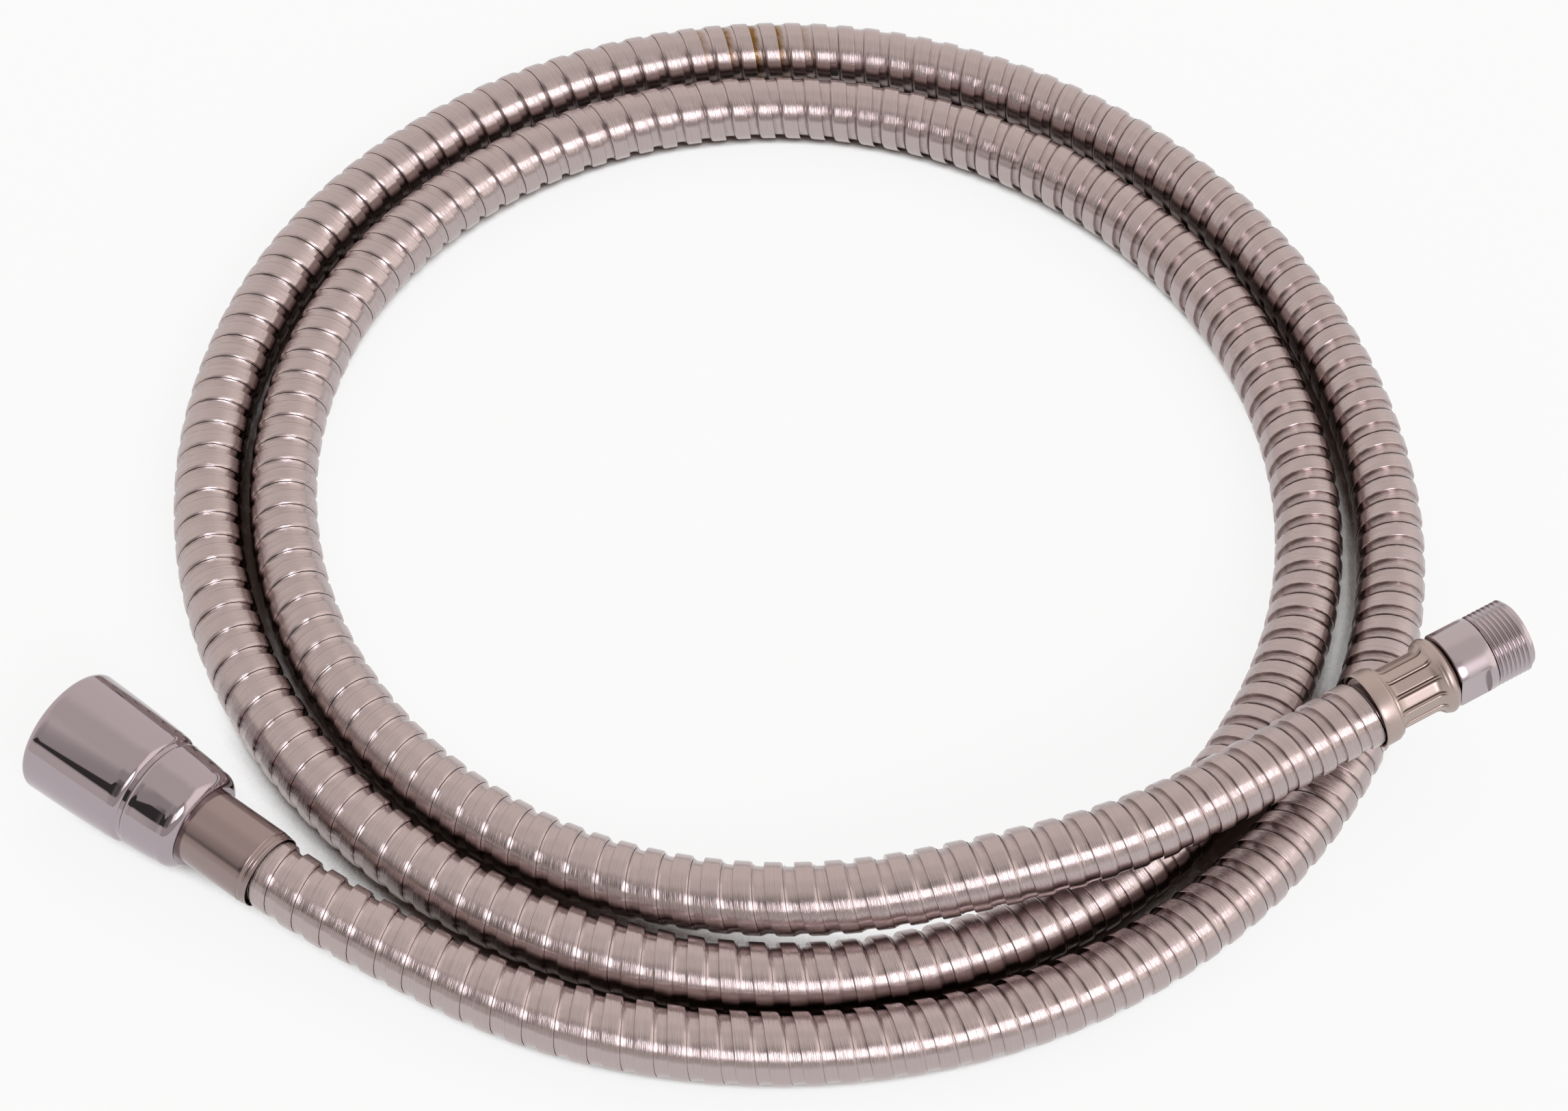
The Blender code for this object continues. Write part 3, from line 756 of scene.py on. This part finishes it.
def rolledStainless():
    # cold-rolled stainless strip: a soft grey-brown mirror, drawn lines along the strip that comb every
    # highlight, and rust-brown water stains in a few grooves
    material, tree, shader = newMaterial("rolledStainlessStrip", steel["colour"], 1.0, 0.18)
    uv = addNode(tree, "ShaderNodeUVMap", {"uv_map": "strip"})
    scale = (1 / (steel["lineLength"] * mm), 1 / (steel["lineWidth"] * mm), 1)
    stretch = addNode(tree, "ShaderNodeMapping", values={"Scale": scale}, links={"Vector": uv.outputs["UV"]})
    lines = addNode(tree, "ShaderNodeTexNoise", values={"Scale": 1.0, "Detail": 3.0, "Roughness": 0.6},
                    links={"Vector": stretch.outputs["Vector"]})
    bump = addNode(tree, "ShaderNodeBump", values={"Strength": 1.0, "Distance": steel["lineHeight"] * mm},
                   links={"Height": lines.outputs["Fac"]})
    tree.links.new(bump.outputs["Normal"], shader.inputs["Normal"])
    objectPlace = addNode(tree, "ShaderNodeTexCoord")
    patches = addNode(tree, "ShaderNodeTexNoise", values={"Scale": 1 / (steel["patch"] * mm), "Detail": 3.0},
                      links={"Vector": objectPlace.outputs["Object"]})
    rough = addNode(tree, "ShaderNodeMapRange",
                    values={"From Min": 0.3, "From Max": 0.7, "To Min": 0.09, "To Max": 0.16},
                    links={"Value": patches.outputs["Fac"]})
    tree.links.new(rough.outputs["Result"], shader.inputs["Roughness"])
    wear = addNode(tree, "ShaderNodeMapRange",
                   values={"From Min": 0.25, "From Max": 0.5, "To Min": 0.86, "To Max": 1.0},
                   links={"Value": lines.outputs["Fac"]})
    worn = addNode(tree, "ShaderNodeVectorMath", {"operation": "SCALE"}, {0: linear(steel["colour"])[:3]},
                   {"Scale": wear.outputs["Result"]})
    stain = addNode(tree, "ShaderNodeAttribute", {"attribute_name": "stain"})
    blotches = addNode(tree, "ShaderNodeTexNoise",
                       values={"Scale": 1 / (steel["stainGrain"] * mm), "Detail": 4.0},
                       links={"Vector": objectPlace.outputs["Object"]})
    amount = addNode(tree, "ShaderNodeMath", {"operation": "MULTIPLY", "use_clamp": True},
                     links={0: stain.outputs["Fac"], 1: blotches.outputs["Fac"]})
    amount = addNode(tree, "ShaderNodeMath", {"operation": "MULTIPLY", "use_clamp": True},
                     {1: steel["stainStrength"]}, {0: amount.outputs[0]})
    tinted = addNode(tree, "ShaderNodeMix", {"data_type": "RGBA"}, {"B": linear(steel["stainColour"])},
                     {"Factor": amount.outputs[0], "A": worn.outputs[0]})
    tree.links.new(mixedColour(tinted), shader.inputs["Base Color"])
    return material


def turnedMetal(name, colour, roughness, grain, bumpStrength=0.15):
    material, tree, shader = newMaterial(name, colour, 1.0, roughness)
    place = addNode(tree, "ShaderNodeTexCoord")
    marks = addNode(tree, "ShaderNodeTexNoise", values={"Scale": 1 / (grain * mm), "Detail": 4.0},
                    links={"Vector": place.outputs["Object"]})
    bump = addNode(tree, "ShaderNodeBump", values={"Strength": bumpStrength, "Distance": 0.01 * mm},
                   links={"Height": marks.outputs["Fac"]})
    tree.links.new(bump.outputs["Normal"], shader.inputs["Normal"])
    return material


# the second colour is painted shade laid into the jaw slots
pressedSteel = {"colour": "#b3a49d", "slotShadeColour": "#4f3a2b", "roughness": 0.36, "grain": 0.6}


def pressedStainless():
    # thin stainless pressed by the crimping jaws: duller and warmer than the hose, with painted shade
    # darkening the jaw slots
    material = turnedMetal("pressedStainless", pressedSteel["colour"], pressedSteel["roughness"],
                           pressedSteel["grain"])
    tree = material.node_tree
    slotShade = addNode(tree, "ShaderNodeAttribute", {"attribute_name": "slotShade"})
    colour = addNode(tree, "ShaderNodeMix", {"data_type": "RGBA"},
                     {"A": linear(pressedSteel["colour"]), "B": linear(pressedSteel["slotShadeColour"])},
                     {"Factor": slotShade.outputs["Fac"]})
    tree.links.new(mixedColour(colour), tree.nodes["Principled BSDF"].inputs["Base Color"])
    return material


def blackRubber():
    # moulded rubber: near black and dull
    material, tree, shader = newMaterial("mouldedRubber", "#1d1c1b", 0.0, 0.62)
    place = addNode(tree, "ShaderNodeTexCoord")
    pores = addNode(tree, "ShaderNodeTexNoise", values={"Scale": 1 / (0.4 * mm), "Detail": 2.0},
                    links={"Vector": place.outputs["Object"]})
    bump = addNode(tree, "ShaderNodeBump", values={"Strength": 0.3, "Distance": 0.03 * mm},
                   links={"Height": pores.outputs["Fac"]})
    tree.links.new(bump.outputs["Normal"], shader.inputs["Normal"])
    return material


rubber = blackRubber()
dress(hoseWinding, rolledStainless())
# bright chrome plate on the nut: a clear, faintly violet mirror of the room
dress(nutFine, turnedMetal("chromePlate", "#aba0a5", 0.04, 0.8, 0.02))
# stainless tube drawn and polished: a darker, softer mirror
dress(sleeveFine, turnedMetal("polishedStainless", "#998986", 0.20, 0.5))
dress(crimpFine, pressedStainless())
# machined and thinly plated: bright, with the lamp spread wide
dress(connectorFine, turnedMetal("satinChrome", "#b5abae", 0.20, 0.3))
# bare turned brass: yellow and slightly dull
dress(nippleFine, turnedMetal("turnedBrass", "#c9a25a", 0.28, 0.3))
dress(washerFine, rubber)
dress(frame["nodes"]["inner_tube"], rubber)
print("finishes on")


# Bodies and replaced nodes

for piece, node, body in (
    (hoseWinding, "hose_jacket", "hose"),
    (nutFine, "cone_nut", "nut"),
    (sleeveFine, "nut_end_ferrule", "hose"),
    (washerFine, "sealing_washer", "hose"),
    (nippleFine, "nut_end_nipple", "hose"),
    (crimpFine, "male_end_ferrule", "hose"),
    (connectorFine, "male_connector", "hose"),
):
    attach(piece, body)
    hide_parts(node)

print("pieces ride on their bodies")


# Studio: pale floor and an even dome, with the panels and dark gaps that the polished metal mirrors

studio = {
    "floorColour": "#dcdada",
    "creviceShade": "#5a463c",  # painted shade: the floor's colour deep between two strands, where the hose hems it in
    "floorWhite": 0.86,  # how far the open floor is lifted to white for the camera and in the metal
    "shadowReach": 0.03,
    "frontHeading": -56.1,  # the way the camera stands, degrees round Z
    "dome": 0.80,
    "background": 1.05,
    "tint": (1.04, 0.967, 0.936),  # the room is lit a little warm
    "openFloor": (0.16, 0.33),  # how clear of the hose the floor is where the painted crevice shade ends and white begins
    # brightness, azimuths right of the camera's way, elevations, softness of the edges and lean of the
    # upper edge
    "panels": [
        (0.98, (75, 240), (-5, 60), (40, 16), 0),  # pale wall behind the table
        (0.96, (-240, -75), (-5, 60), (30, 16), 0),
        (1.5, (45, 112), (5, 54), (20, 14), 0),  # bright side wall
        (0.60, (-46, 48), (-10, 17), (12, 6), 0),  # far edge of the table
        (0.52, (-66, 48), (17, 67), (20, 8), 0),  # unlit room in front
        (0.22, (-46, -14), (20, 50), (10, 8), 0),  # dark gap beside the softbox
        (0.06, (-62, -43), (18, 42), (3, 3), 1.9),  # black strip that the nut mirrors
        (2.0, (-2, 26), (26, 48), (10, 6), 0),  # the softbox's side curtain
    ],
    "softbox": (8.5, (20, 40), (25, 49), (12, 6), 0),
    "softboxTint": (1.0, 0.97, 1.06),  # a little violet beside the warm room
}


def panelMask(tree, azimuth, elevation, sideRange, heightRange, softness, lean):
    edges = [(azimuth, sideRange[0], 1, softness[0]), (azimuth, sideRange[1], -1, softness[0]),
             (elevation, heightRange[0], 1, softness[1]), (elevation, heightRange[1], -1, softness[1])]
    if lean:
        slanted = addNode(tree, "ShaderNodeMath", {"operation": "MULTIPLY_ADD"}, {1: -lean},
                          {0: azimuth, 2: elevation})
        edges.append((slanted.outputs[0], heightRange[0] - lean * sideRange[0], -1, softness[1]))
    mask = None
    for value, edge, direction, soft in edges:
        before, after = (0.0, 1.0) if direction > 0 else (1.0, 0.0)
        step = addNode(tree, "ShaderNodeMapRange", {"interpolation_type": "SMOOTHSTEP"},
                       {"From Min": math.radians(edge - soft / 2), "From Max": math.radians(edge + soft / 2),
                        "To Min": before, "To Max": after}, {"Value": value})
        if mask is None:
            mask = step.outputs["Result"]
        else:
            mask = addNode(tree, "ShaderNodeMath", {"operation": "MULTIPLY"},
                           links={0: mask, 1: step.outputs["Result"]}).outputs[0]
    return mask


def addFloor():
    bpy.ops.object.select_all(action="DESELECT")
    bpy.ops.mesh.primitive_plane_add(size=5.0, location=(0, 0, -0.05 * mm))
    floor = bpy.context.object
    floor.name = "floor"
    material, tree, shader = newMaterial("paleFloor", studio["floorColour"], 0.0, 0.9)
    light = addNode(tree, "ShaderNodeLightPath")
    around = addNode(tree, "ShaderNodeAmbientOcclusion", {"samples": 16}, {"Distance": studio["shadowReach"]})
    clear = addNode(tree, "ShaderNodeMapRange", {"interpolation_type": "SMOOTHSTEP"},
                    {"From Min": studio["openFloor"][0], "From Max": studio["openFloor"][1]},
                    {"Value": around.outputs["AO"]})
    # painted shade: the floor's colour darkens by its ambient occlusion towards the crevice shade colour
    # between the strands
    ground = addNode(tree, "ShaderNodeMix", {"data_type": "RGBA"},
                     {"A": linear(studio["creviceShade"]), "B": linear(studio["floorColour"])},
                     {"Factor": clear.outputs["Result"]})
    tree.links.new(mixedColour(ground), shader.inputs["Base Color"])
    seen = addNode(tree, "ShaderNodeMath", {"operation": "MAXIMUM"},
                   links={0: light.outputs["Is Camera Ray"], 1: light.outputs["Is Glossy Ray"]})
    share = addNode(tree, "ShaderNodeMath", {"operation": "MULTIPLY"},
                    links={0: seen.outputs[0], 1: clear.outputs["Result"]})
    share = addNode(tree, "ShaderNodeMath", {"operation": "MULTIPLY"}, {1: studio["floorWhite"]},
                    {0: share.outputs[0]})
    # painted shade: the white seen by the camera and in the metal also darkens to the crevice shade colour,
    # and fades out, where the floor is hemmed in
    glow = addNode(tree, "ShaderNodeMix", {"data_type": "RGBA"},
                   {"A": linear(studio["creviceShade"]), "B": (1, 1, 1, 1)}, {"Factor": clear.outputs["Result"]})
    white = addNode(tree, "ShaderNodeEmission", values={"Strength": 1.0},
                    links={"Color": mixedColour(glow)})
    mix = addNode(tree, "ShaderNodeMixShader", links={"Fac": share.outputs[0]})
    tree.links.new(shader.outputs["BSDF"], mix.inputs[1])
    tree.links.new(white.outputs["Emission"], mix.inputs[2])
    tree.links.new(mix.outputs["Shader"], tree.nodes["Material Output"].inputs["Surface"])
    dress(floor, material)


def addStudio():
    world = bpy.data.worlds.new("studio")
    bpy.context.scene.world = world
    world.use_nodes = True
    tree = world.node_tree
    way = addNode(tree, "ShaderNodeTexCoord").outputs["Generated"]
    turned = addNode(tree, "ShaderNodeVectorRotate", {"rotation_type": "Z_AXIS"},
                     {"Angle": math.radians(-studio["frontHeading"])}, {"Vector": way})
    parts = addNode(tree, "ShaderNodeSeparateXYZ", links={"Vector": turned.outputs["Vector"]})
    azimuth = addNode(tree, "ShaderNodeMath", {"operation": "ARCTAN2"},
                      links={0: parts.outputs["Y"], 1: parts.outputs["X"]})
    elevation = addNode(tree, "ShaderNodeMath", {"operation": "ARCSINE"}, links={0: parts.outputs["Z"]})
    room = None
    for brightness, *shape in studio["panels"]:
        mask = panelMask(tree, azimuth.outputs[0], elevation.outputs[0], *shape)
        step = addNode(tree, "ShaderNodeMix", {"data_type": "FLOAT"}, {"A": studio["dome"], "B": brightness},
                       {"Factor": mask})
        if room is not None:
            tree.links.new(room, step.inputs["A"])
        room = step.outputs["Result"]
    warm = addNode(tree, "ShaderNodeVectorMath", {"operation": "SCALE"}, {0: studio["tint"]}, {"Scale": room})
    brightness, *shape = studio["softbox"]
    mask = panelMask(tree, azimuth.outputs[0], elevation.outputs[0], *shape)
    softbox = tuple(brightness * share for share in studio["softboxTint"]) + (1.0,)
    lit = addNode(tree, "ShaderNodeMix", {"data_type": "RGBA"}, {"B": softbox},
                  {"Factor": mask, "A": warm.outputs[0]})
    path = addNode(tree, "ShaderNodeLightPath")
    shown = addNode(tree, "ShaderNodeMix", {"data_type": "RGBA"}, {"B": (studio["background"],) * 3 + (1.0,)},
                    {"Factor": path.outputs["Is Camera Ray"], "A": mixedColour(lit)})
    tree.links.new(mixedColour(shown), tree.nodes["Background"].inputs["Color"])
    bpy.context.scene.view_settings.view_transform = "Standard"


addFloor()
addStudio()
print("studio lit")
